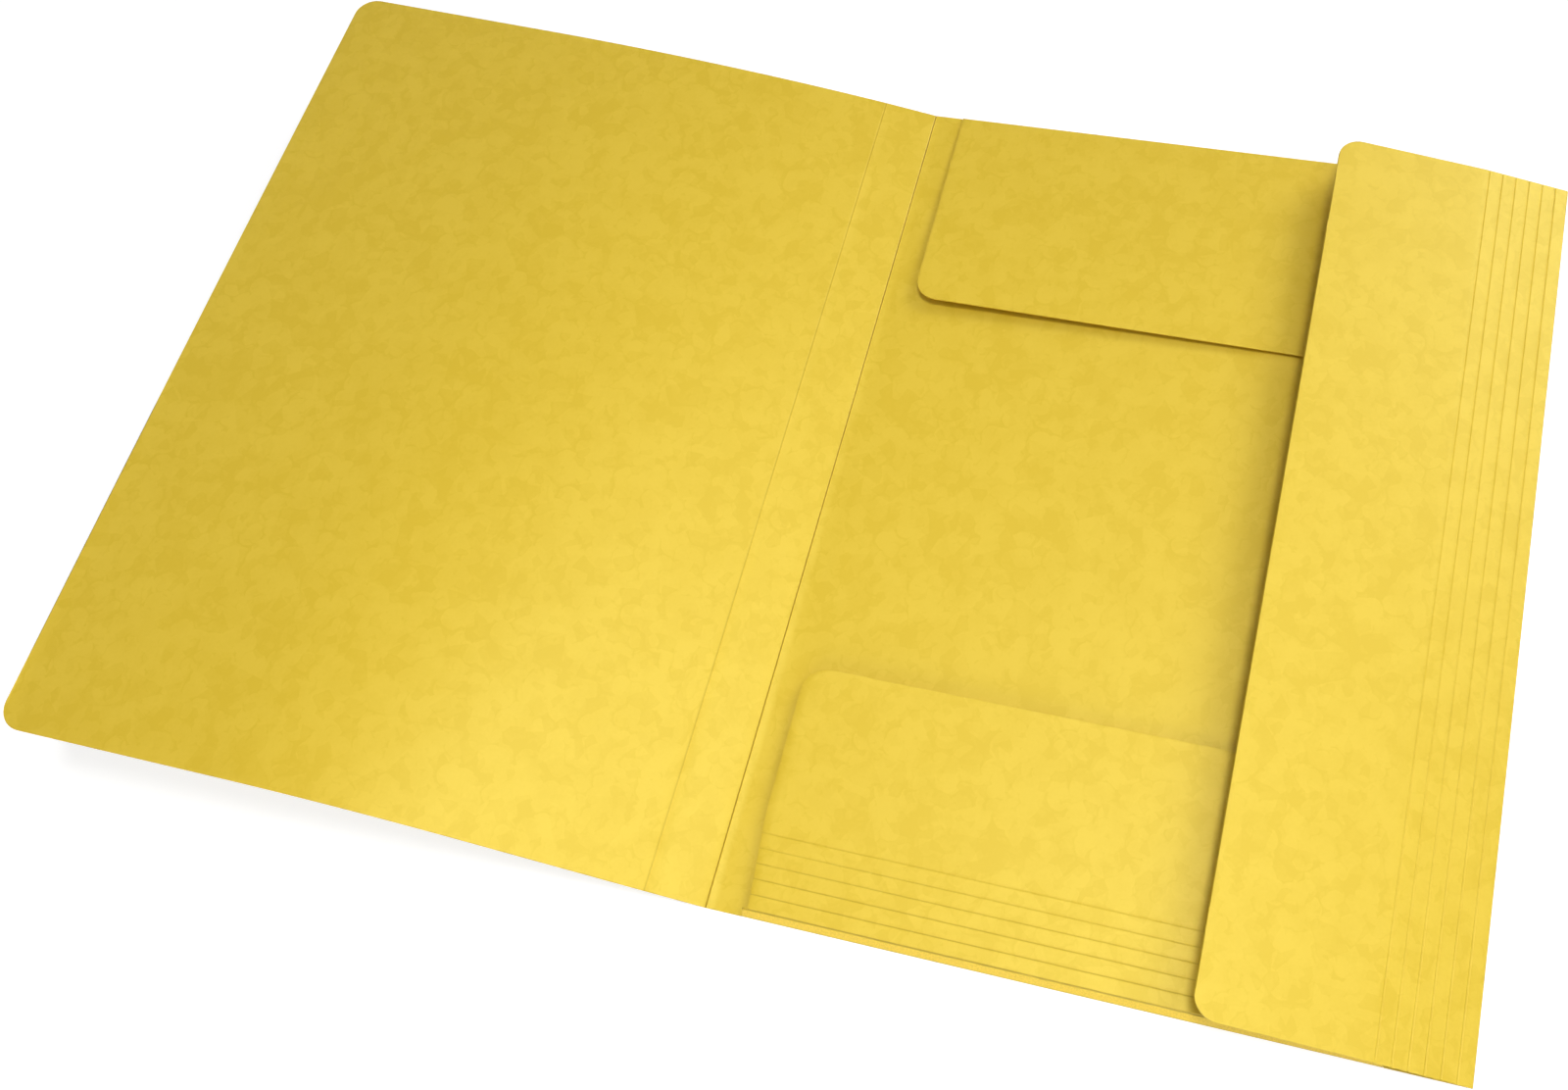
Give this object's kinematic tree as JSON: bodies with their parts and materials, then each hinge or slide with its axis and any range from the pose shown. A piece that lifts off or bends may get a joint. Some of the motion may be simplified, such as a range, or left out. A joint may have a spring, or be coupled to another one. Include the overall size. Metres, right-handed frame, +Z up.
{
  "type": "three flap folder",
  "caption": "Three flap document folder folded from one card sheet, lying open with its cover raised and its flaps turned in over the back panel.",
  "frame": {"origin": "on the floor, under the middle of the open folder's outline", "axes": "+X from the open cover towards the side flap, +Y from the bottom flap towards the top flap, +Z up off the back panel"},
  "size_m": [0.4808, 0.32, 0.0458],
  "materials": {
    "yellow_pressboard": "smooth mottled pressed card, faint sheen"
  },
  "bodies": {
    "root": {"folder_sheet": "yellow_pressboard"}
  },
  "joints": []
}
